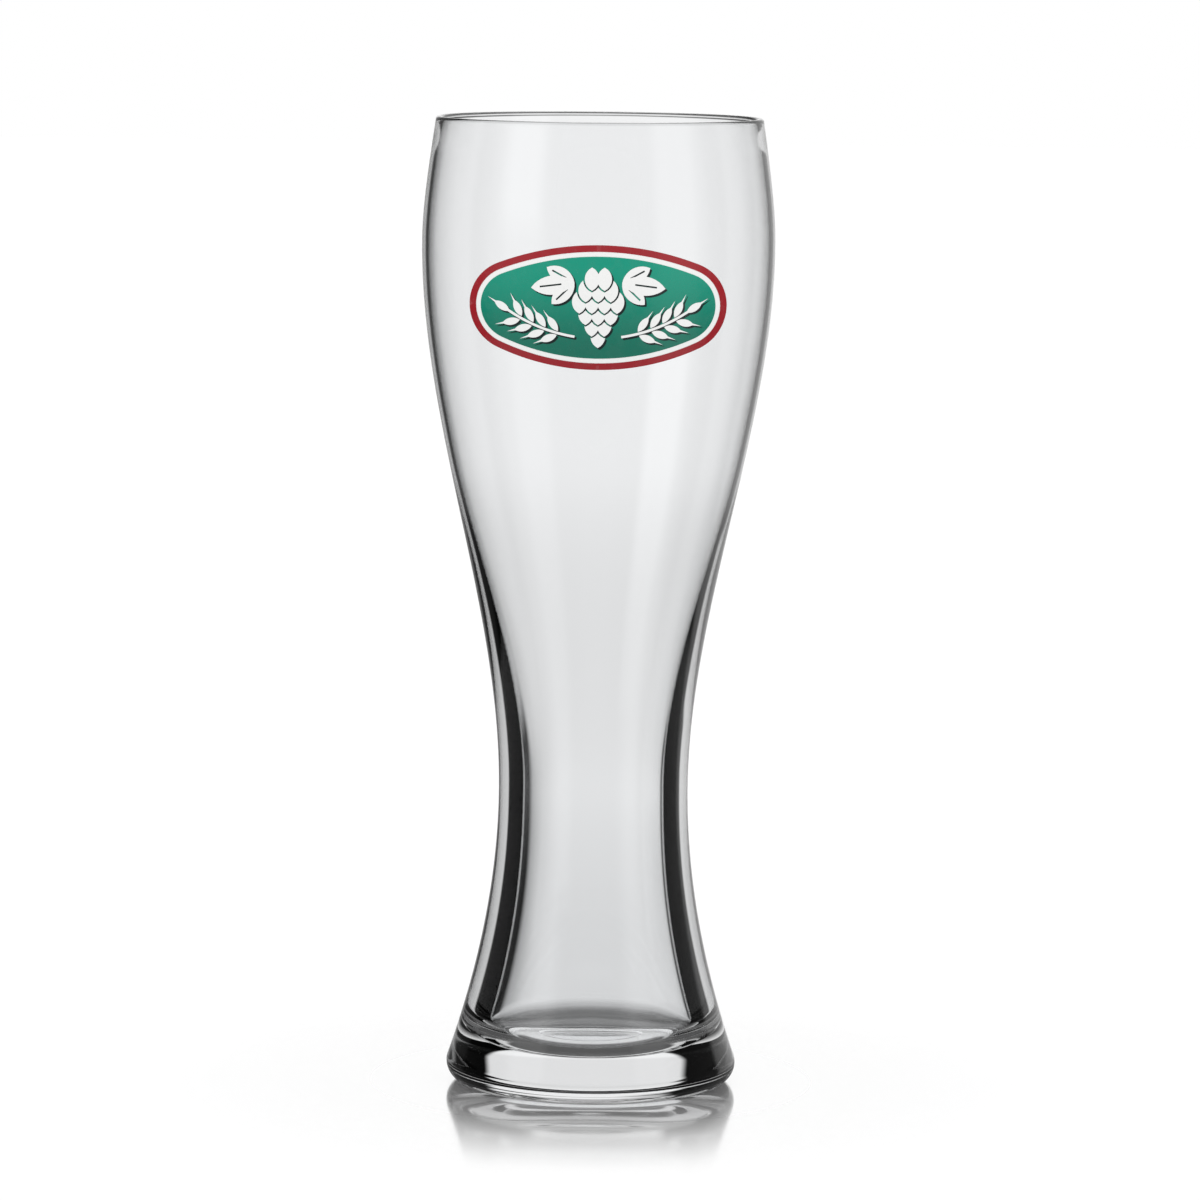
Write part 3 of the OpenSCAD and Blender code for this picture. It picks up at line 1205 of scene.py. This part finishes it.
@dataclass
class Badge:
    """The printed oval: white base, red ring, green field, barley ears, hop cone and shadow.

    Lengths are in millimetres and match the CAD model's.
    """

    glass: GlassBody
    ears: BarleyEars = field(default_factory=BarleyEars)
    hop: Hop = field(default_factory=Hop)
    drop: float = 44.0
    width: float = 62.0
    height: float = 30.0
    end_r: float = 11.0
    end_steps: int = 40
    side_steps: int = 90
    red_w: float = 1.6
    white_w: float = 1.15
    ink_t: float = 0.05
    sink: float = 0.02
    shadow_shift: float = 0.45

    def build(self) -> list[bpy.types.Object]:
        """Prints every layer.

        Returns:
            The finished pieces.
        """
        inks = {ink: ink.value.material() for ink in Ink}
        rings, motifs = self._rings(), self._motifs(inks[Ink.WHITE])
        layers = (
            Layer("white_base", rings, lambda t: "badge" in t, 0, Ink.WHITE),
            Layer("red_ring", rings, lambda t: "badge" in t and "inner" not in t, 1, Ink.RED),
            Layer("green_field", rings, lambda t: "field" in t, 1, Ink.GREEN),
            Layer("barley_ears", motifs, lambda t: "ear" in t, 2, Ink.WHITE),
            Layer("hop_cone", motifs, self.hop.covers, 2, Ink.WHITE),
            Layer("motif_shadow", motifs, self._on_shadow, 2, Ink.DARK),
        )
        wall = BowlWall(self.glass, self.glass.height - self.drop)
        made = []
        for layer in layers:
            low = layer.under * self.ink_t - self.sink
            high = (layer.under + 1) * self.ink_t
            mesh = layer.drawing.cells(layer.keep).skin(wall, low, high)
            mesh.materials.append(inks[layer.ink])
            slot = layer.ink.value.name
            made.append(Piece("ink_" + layer.name, mesh, "print_" + layer.name, slot).place())
        return made

    def _rings(self) -> Drawing:
        """Draws the badge's edge, the inside of its red ring and its field.

        Returns:
            The drawing.
        """
        rings = Drawing()
        rings.add("badge", self._oval(0.0))
        rings.add("inner", self._oval(self.red_w))
        rings.add("field", self._oval(self.red_w + self.white_w))
        return rings

    def _motifs(self, finish: bpy.types.Material) -> Drawing:
        """Draws the ears and the hop in place and, tagged low, where their shadow falls.

        Args:
            finish: The material of the flat meshes.

        Returns:
            The drawing.
        """
        motifs = Drawing()
        ears = self.ears.flat(finish)
        cone = self.hop.scales(finish, 0.0)
        grown = self.hop.scales(finish, self.hop.scale_gap)
        for tag, shift in (("", 0.0), ("low_", self.shadow_shift)):
            step = (shift, -shift)
            motifs.add_mesh(tag + "ear", ears, step)
            motifs.add_mesh(tag + "scale", cone, step)
            motifs.add_mesh(tag + "grown", grown, step)
            self.hop.add_leaves(motifs, tag, step)
        return motifs

    def _oval(self, inset: float) -> list[Point]:
        """Oval of four arcs.

        Args:
            inset: How far it is drawn in from the badge's edge.

        Returns:
            Its corners.
        """
        end_x = self.width / 2 - self.end_r
        half_h = self.height / 2
        long_r = (end_x**2 + half_h**2 - self.end_r**2) / (2 * (half_h - self.end_r))
        meet = math.degrees(math.atan2(long_r - half_h, end_x))
        points: list[Point] = []
        for mid, radius, first, last, steps in (
            ((end_x, 0), self.end_r, -meet, meet, self.end_steps),
            ((0, half_h - long_r), long_r, meet, 180 - meet, self.side_steps),
            ((-end_x, 0), self.end_r, 180 - meet, 180 + meet, self.end_steps),
            ((0, long_r - half_h), long_r, 180 + meet, 360 - meet, self.side_steps),
        ):
            reach = radius - inset
            for angle in span(first, last, steps)[:-1]:
                t = math.radians(angle)
                points.append((mid[0] + reach * math.cos(t), mid[1] + reach * math.sin(t)))
        return points

    def _on_shadow(self, tags: Tags) -> bool:
        """Whether a cell is on the shadow: under a moved motif and under no real one."""
        low = "low_ear" in tags or self.hop.covers(tags, "low_")
        return low and not ("ear" in tags or self.hop.covers(tags))


# The studio


def grey(light: float) -> tuple[float, float, float, float]:
    """Neutral colour."""
    return (light, light, light, 1.0)


@dataclass
class View:
    """The camera, at the photograph's angle. The roll is in degrees, lens and film in millimetres."""

    distance: float = 1.4267
    height: float = 0.289
    aim_x: float = 0.0012
    aim_z: float = 0.1207
    roll: float = 0.585
    lens: float = 174.0
    film_w: float = 36.0

    def build(self) -> None:
        """Adds the camera and sets plain colours."""
        bpy.context.scene.view_settings.view_transform = "Standard"
        place = Vector((0.0, -self.distance, self.height))
        ahead = (Vector((self.aim_x, 0.0, self.aim_z)) - place).normalized()
        right = ahead.cross(Vector((0.0, 0.0, 1.0))).normalized()
        up = right.cross(ahead)
        t = math.radians(self.roll)
        rolled_right = right * math.cos(t) + up * math.sin(t)
        rolled_up = up * math.cos(t) - right * math.sin(t)
        camera = bpy.data.objects.new("camera", bpy.data.cameras.new("camera"))
        camera.data.lens = self.lens
        camera.data.sensor_width = self.film_w
        turn = Matrix((rolled_right, rolled_up, -ahead)).transposed()
        camera.matrix_world = Matrix.Translation(place) @ turn.to_4x4()
        bpy.context.scene.collection.objects.link(camera)
        bpy.context.scene.camera = camera


class Way:
    """The direction in which a ray leaves the scene, in degrees, and what it has met.

    A turn counts from straight behind the glass to the right, and an azimuth is a turn without
    its sign. The tall angle counts up from the horizon and below counts down, and height is either
    without its sign.
    """

    def __init__(self, maker: TreeMaker) -> None:
        """Reads the direction and the ray's path.

        Args:
            maker: The world's tree.
        """
        self.maker = maker
        self.path = maker.node("ShaderNodeLightPath")
        x, y, z = maker.split(maker.out("ShaderNodeTexCoord", output="Generated"))
        self.turn = x.math("ARCTAN2", y).math("DEGREES")
        self.tall = z.math("ARCSINE").math("DEGREES")
        self.below = 0 - self.tall
        self.azimuth = abs(self.turn)
        self.height = abs(self.tall)

    def ray(self, name: str) -> Wire:
        """One output of the Light Path node."""
        return Wire(self.maker, self.path.outputs[name])

    def times(self, name: str, count: int) -> Wire:
        """1 where the ray's depth of a kind is at least a count."""
        return self.ray(name).math("GREATER_THAN", count - 0.5)

    def past(self, azimuth: Edge, height: Edge) -> Wire:
        """1 past an edge in azimuth or past one in height."""
        return 1 - (1 - self.azimuth.over(*azimuth)) * (1 - self.height.over(*height))

    def sheet(self, left: Number, right: Number, soft: Number) -> Wire:
        """Upright sheet behind the glass, from left to right of its middle, with soft edges."""
        started = (self.turn + left).over(0 - soft, soft)
        return started * (1 - (self.turn - right).over(0 - soft, soft))


@dataclass
class Surround:
    """The world: white for the camera and soft light, and sheets, flags and strips for the glass.

    Angles are in degrees. An Edge is where a soft edge starts and ends, and a Band is its start,
    its end and how soft both are. Lights and darks are shares of full white. A value with above,
    wide, low or twice in its name is what is added there, by a mask of that name.
    """

    way: Way = field(init=False)

    # The horizon and the top of the ring.
    above_tall: Edge = (-1.0, 8.0)
    high_tall: Edge = (2.0, 9.0)
    top_height: Edge = (45.0, 60.0)
    top_light: float = 0.6

    # The sheet behind the glass, seen through it.
    sheet_light: float = 0.95
    sheet_left: float = 23.0
    sheet_left_above: float = 6.0
    sheet_right: float = 33.0
    sheet_soft: float = 3.5
    fade: float = 0.5
    fade_left: Edge = (4.0, 24.0)
    fade_end: float = 0.6
    fade_end_below: Edge = (9.0, 15.0)
    floor_dark: float = 0.14
    floor_dark_below: Edge = (4.0, 14.0)

    # Flags beside the sheet, with open light past them, for one wall and for both.
    open_light: float = 0.82
    flag_azimuth: Edge = (70.0, 76.0)
    flag_height: Edge = (10.0, 16.0)
    hollow_flag_azimuth: Edge = (36.0, 42.0)
    hollow_flag_height: Edge = (14.0, 20.0)

    # Dark bands under the sheet, which draw the base and the lip.
    base_dark: float = 0.5
    base_below: Band = (36.0, 52.0, 8.0)
    base_azimuth: Edge = (50.0, 70.0)
    lip_dark: float = 0.9
    far_lip_below: Band = (4.5, 8.5, 1.0)
    near_lip_below: Band = (26.0, 48.0, 3.0)

    # The ring that gloss mirrors, with two strips before the glass.
    ring_light: float = 0.33
    left_strip: float = -125.0
    left_strip_light: float = 0.12
    left_strip_above: float = 0.43
    right_strip: float = 127.0
    right_strip_light: float = 0.42
    strip_edge: Edge = (10.0, 20.0)
    left_dark: float = 0.25
    left_dark_turn: Band = (-100.0, -22.0, 10.0)

    # Gloss on the outside of the glass.
    outer_dark: float = 0.7
    outer_dark_azimuth: Band = (56.0, 104.0, 8.0)
    outer_glow: float = 0.35
    outer_glow_turn: Band = (10.0, 58.0, 8.0)
    outer_left: float = 10.0
    outer_right: float = 12.0
    outer_soft: float = 3.0

    # Gloss inside one wall.
    inner_light: float = 0.72
    inner_light_wide: float = 0.11
    ceiling_light: float = 0.14
    ceiling_tall: Edge = (16.0, 22.0)
    inner_dark_twice: float = 0.7
    inner_dark_above: float = 0.3
    inner_left: float = 22.0
    inner_left_wide: float = 7.0
    inner_left_twice: float = 7.0
    inner_right: float = 17.0
    inner_right_wide: float = 17.0
    inner_right_low: float = 6.0
    inner_right_twice: float = 5.0
    inner_low_below: Edge = (15.0, 19.0)
    inner_soft: float = 3.0
    inner_soft_wide: float = -1.0
    inner_side_azimuth: Edge = (62.0, 72.0)
    inner_side_dark_twice: float = 0.9

    # Gloss behind both walls.
    deep_glow: float = 0.5
    deep_glow_azimuth: Band = (22.0, 80.0, 10.0)
    deep_dark: float = 0.9
    deep_dark_below: Edge = (9.0, 15.0)
    deep_dark_azimuth: Edge = (60.0, 80.0)
    deep_dark_twice: float = 0.6

    # Where blurred gloss sees plain white, before the glass and behind it.
    blur_tall: Edge = (9.0, 14.0)
    blur_behind_tall: Edge = (0.0, 4.0)
    blur_azimuth: Edge = (90.0, 110.0)

    def build(self) -> None:
        """Makes the world."""
        world = bpy.data.worlds.new("studio")
        bpy.context.scene.world = world
        world.use_nodes = True
        world.cycles.sampling_method = "NONE"
        maker = TreeMaker(world.node_tree)
        self.way = Way(maker)
        glow = maker.out(
            "ShaderNodeBackground", None, {"Color": grey(1.0), "Strength": self._strength()}
        )
        maker.node("ShaderNodeOutputWorld", None, {"Surface": glow})

    @cached_property
    def above(self) -> Wire:
        """The part over the horizon."""
        return self.way.tall.over(*self.above_tall)

    @cached_property
    def high(self) -> Wire:
        """The part well over the horizon."""
        return self.way.tall.over(*self.high_tall)

    @cached_property
    def top(self) -> Wire:
        """The parts near straight up and straight down."""
        return self.way.height.over(*self.top_height)

    @cached_property
    def hollow(self) -> Wire:
        """Rays that have crossed the inside of the glass."""
        return self.way.times("Transmission Depth", 3)

    @cached_property
    def twice(self) -> Wire:
        """Rays that were mirrored more than once."""
        return self.way.times("Glossy Depth", 2)

    @cached_property
    def lit(self) -> Wire:
        """Light of the sheet, which fades to the left below the horizon and dims downwards.

        Returns:
            The light.
        """
        below = self.way.below
        fade = self.fade * (0 - self.way.turn).over(*self.fade_left) * (1 - self.above)
        fade = fade * (1 - self.fade_end * below.over(*self.fade_end_below))
        dim = self.floor_dark * below.over(*self.floor_dark_below)
        return (1 - fade) * (self.sheet_light - dim)

    @cached_property
    def behind(self) -> Wire:
        """Where the sheet stands."""
        left = self.sheet_left + self.sheet_left_above * self.above
        return self.way.sheet(left, self.sheet_right, self.sheet_soft)

    @cached_property
    def ring(self) -> Wire:
        """Light of the ring, which gloss mirrors.

        Returns:
            The light.
        """
        way = self.way
        left, right = (
            1 - abs(way.turn - middle).over(*self.strip_edge)
            for middle in (self.left_strip, self.right_strip)
        )
        strips = left * (self.left_strip_light + self.left_strip_above * self.above)
        strips = strips + right * self.right_strip_light
        ring = self.ring_light + strips - self.left_dark * way.turn.between(*self.left_dark_turn)
        return blend(ring, self.top_light, self.top)

    def _straight(self) -> Wire:
        """Light that comes through the glass without being mirrored.

        Returns:
            The light.
        """
        way = self.way
        flag = way.past(self.flag_azimuth, self.flag_height)
        hollow_flag = way.past(self.hollow_flag_azimuth, self.hollow_flag_height)
        side = self.open_light * blend(flag, hollow_flag, self.hollow)
        base = self.base_dark * way.below.between(*self.base_below)
        base = base * (1 - way.azimuth.over(*self.base_azimuth))
        near_lip = way.below.between(*self.near_lip_below)
        lip = way.below.between(*self.far_lip_below).math("MAXIMUM", near_lip)
        lip = self.lip_dark * lip * (1 - self.hollow)
        return blend(side, self.lit, self.behind) * (1 - base) * (1 - lip)

    def _outer(self) -> Wire:
        """Light that the outside of the glass mirrors.

        Returns:
            The light.
        """
        way = self.way
        dark = self.outer_dark * way.azimuth.between(*self.outer_dark_azimuth) * (1 - self.top)
        light = self.ring * (1 - dark) + self.outer_glow * way.turn.between(*self.outer_glow_turn)
        sheet = way.sheet(self.outer_left, self.outer_right, self.outer_soft)
        return blend(light, 1, sheet)

    def _inner(self) -> Wire:
        """Light that is mirrored inside one wall.

        Returns:
            The light.
        """
        way, twice = self.way, self.twice
        wide = self.high.math("MAXIMUM", twice)
        low = way.below.over(*self.inner_low_below)
        left = self.inner_left + self.inner_left_wide * wide + self.inner_left_twice * twice
        right = self.inner_right + self.inner_right_wide * wide + self.inner_right_low * low
        right = right + self.inner_right_twice * twice
        sheet = way.sheet(left, right, self.inner_soft + self.inner_soft_wide * wide)
        ceiling = self.ceiling_light * way.tall.over(*self.ceiling_tall)
        light = self.inner_light + self.inner_light_wide * wide + ceiling
        dark = self.inner_dark_twice * twice * (1 - self.inner_dark_above * self.above)
        side = self.ring * way.azimuth.over(*self.inner_side_azimuth)
        side = side * (1 - self.inner_side_dark_twice * twice)
        return blend(side, light * (1 - dark), sheet)

    def _deep(self) -> Wire:
        """Light that is mirrored behind both walls.

        Returns:
            The light.
        """
        way = self.way
        light = self.ring + self.deep_glow * way.azimuth.between(*self.deep_glow_azimuth)
        dark = self.deep_dark * way.below.over(*self.deep_dark_below)
        dark = dark * (1 - way.azimuth.over(*self.deep_dark_azimuth))
        light = light * (1 - dark) * (1 - self.deep_dark_twice * self.twice)
        return blend(light, self.lit, self.behind * self.high)

    def _strength(self) -> Wire:
        """Light of the world for every ray: plain white unless the glass or gloss has bent it.

        Returns:
            The background's strength.
        """
        way = self.way
        mirrored = blend(self._outer(), self._inner(), way.times("Transmission Depth", 1))
        mirrored = blend(mirrored, self._deep(), self.hollow)
        seen = blend(self._straight(), mirrored, way.times("Glossy Depth", 1))
        before, behind = (way.tall.over(*e) for e in (self.blur_tall, self.blur_behind_tall))
        aloft = blend(before, behind, 1 - way.azimuth.over(*self.blur_azimuth))
        blurred = (1 - way.ray("Is Singular Ray")) * aloft
        bent = way.ray("Is Glossy Ray").math("MAXIMUM", way.ray("Is Transmission Ray"))
        return 1 - bent * (1 - way.times("Diffuse Depth", 1)) * (1 - blurred) * (1 - seen)


@dataclass
class StudioFloor:
    """White glossy floor, which mirrors the foot and fades to plain white round it.
    Under the foot, rays through the glass see glowing painted shade and a painted reflection.

    An Edge is a pair of distances from the glass's axis, or of Layer Weight's facing.
    """

    half: float = 6.0
    white: float = 0.85
    glow: float = 0.2
    mirror_share: float = 0.84
    mirror_rough: float = 0.1
    mirror_edge: Edge = (0.036, 0.115)
    # Painted shade and a painted reflection under the foot, as glowing greys, for rays through the
    # glass.
    painted_shade_light: float = 0.095
    painted_reflection_light: float = 0.77
    painted_reflection_facing: Edge = (0.44, 0.58)
    painted_reflection_edge: Edge = (0.027, 0.031)
    painted_light_edge: Edge = (0.03, 0.07)

    def build(self) -> None:
        """Adds the floor and dresses it."""
        mesh = bpy.data.meshes.new("floor")
        ways = ((-1, -1), (1, -1), (1, 1), (-1, 1))
        corners = [(x * self.half, y * self.half, 0.0) for x, y in ways]
        mesh.from_pydata(corners, [], [[0, 1, 2, 3]])
        floor = bpy.data.objects.new("floor", mesh)
        bpy.context.scene.collection.objects.link(floor)
        made, maker = new_material("studio_floor")
        path = maker.node("ShaderNodeLightPath")
        camera, glossy, through = (
            Wire(maker, path.outputs[f"Is {kind} Ray"])
            for kind in ("Camera", "Glossy", "Transmission")
        )
        place = object_place(maker)
        reach = maker.out("ShaderNodeVectorMath", {"operation": "LENGTH"}, {0: place}, "Value")
        seen = self._seen(maker, reach, camera)
        both = maker.mixed(glossy + through, seen, self._under_foot_painted_light(maker, reach))
        maker.node("ShaderNodeOutputMaterial", None, {"Surface": both})
        mesh.materials.append(made)

    def _seen(self, maker: TreeMaker, reach: Wire, camera: Wire) -> Wire:
        """Floor as the camera sees it: a mirror under the foot and plain white farther out.

        Args:
            maker: The floor's tree.
            reach: Distance from the axis.
            camera: 1 for rays from the camera.

        Returns:
            The shader.
        """
        white = maker.out("ShaderNodeBsdfDiffuse", None, {"Color": grey(self.white)})
        glow = maker.out("ShaderNodeEmission", None, {"Color": grey(1.0), "Strength": self.glow})
        plain = maker.out("ShaderNodeAddShader", None, {0: white, 1: glow})
        mirror = maker.out(
            "ShaderNodeBsdfGlossy", None, {"Color": grey(1.0), "Roughness": self.mirror_rough}
        )
        mirrored = (1 - reach.over(*self.mirror_edge)) * self.mirror_share
        return maker.mixed(mirrored * camera, plain, mirror)

    def _under_foot_painted_light(self, maker: TreeMaker, reach: Wire) -> Wire:
        """Floor as the glass sees it: glowing painted shade under the foot from steep angles, a
        painted reflection from shallow ones, and clear farther out.

        Args:
            maker: The floor's tree.
            reach: Distance from the axis.

        Returns:
            The shader.
        """
        # Painted shade under the foot for steep rays and a painted reflection for shallow ones, both
        # glowing.
        painted_shade = maker.out("ShaderNodeEmission", None, {"Color": grey(self.painted_shade_light)})
        flat = maker.out("ShaderNodeEmission", None, {"Color": grey(self.painted_reflection_light)})
        facing = maker.out("ShaderNodeLayerWeight", output="Facing")
        painted_reflection_mask = facing.over(*self.painted_reflection_facing) * (1 - reach.over(*self.painted_reflection_edge))
        clear = maker.out("ShaderNodeBsdfTransparent")
        return maker.mixed(reach.over(*self.painted_light_edge), maker.mixed(painted_reflection_mask, painted_shade, flat), clear)


def main() -> None:
    """Builds the glass, its badge and the studio, and reports each piece."""
    logging.basicConfig(level=logging.INFO)
    glass = GlassBody()
    for piece in [glass.build(), *Badge(glass).build()]:
        LOG.info("%s: %d faces", piece.name, len(piece.data.polygons))
    Surround().build()
    StudioFloor().build()
    View().build()


if __name__ == "__main__":
    main()
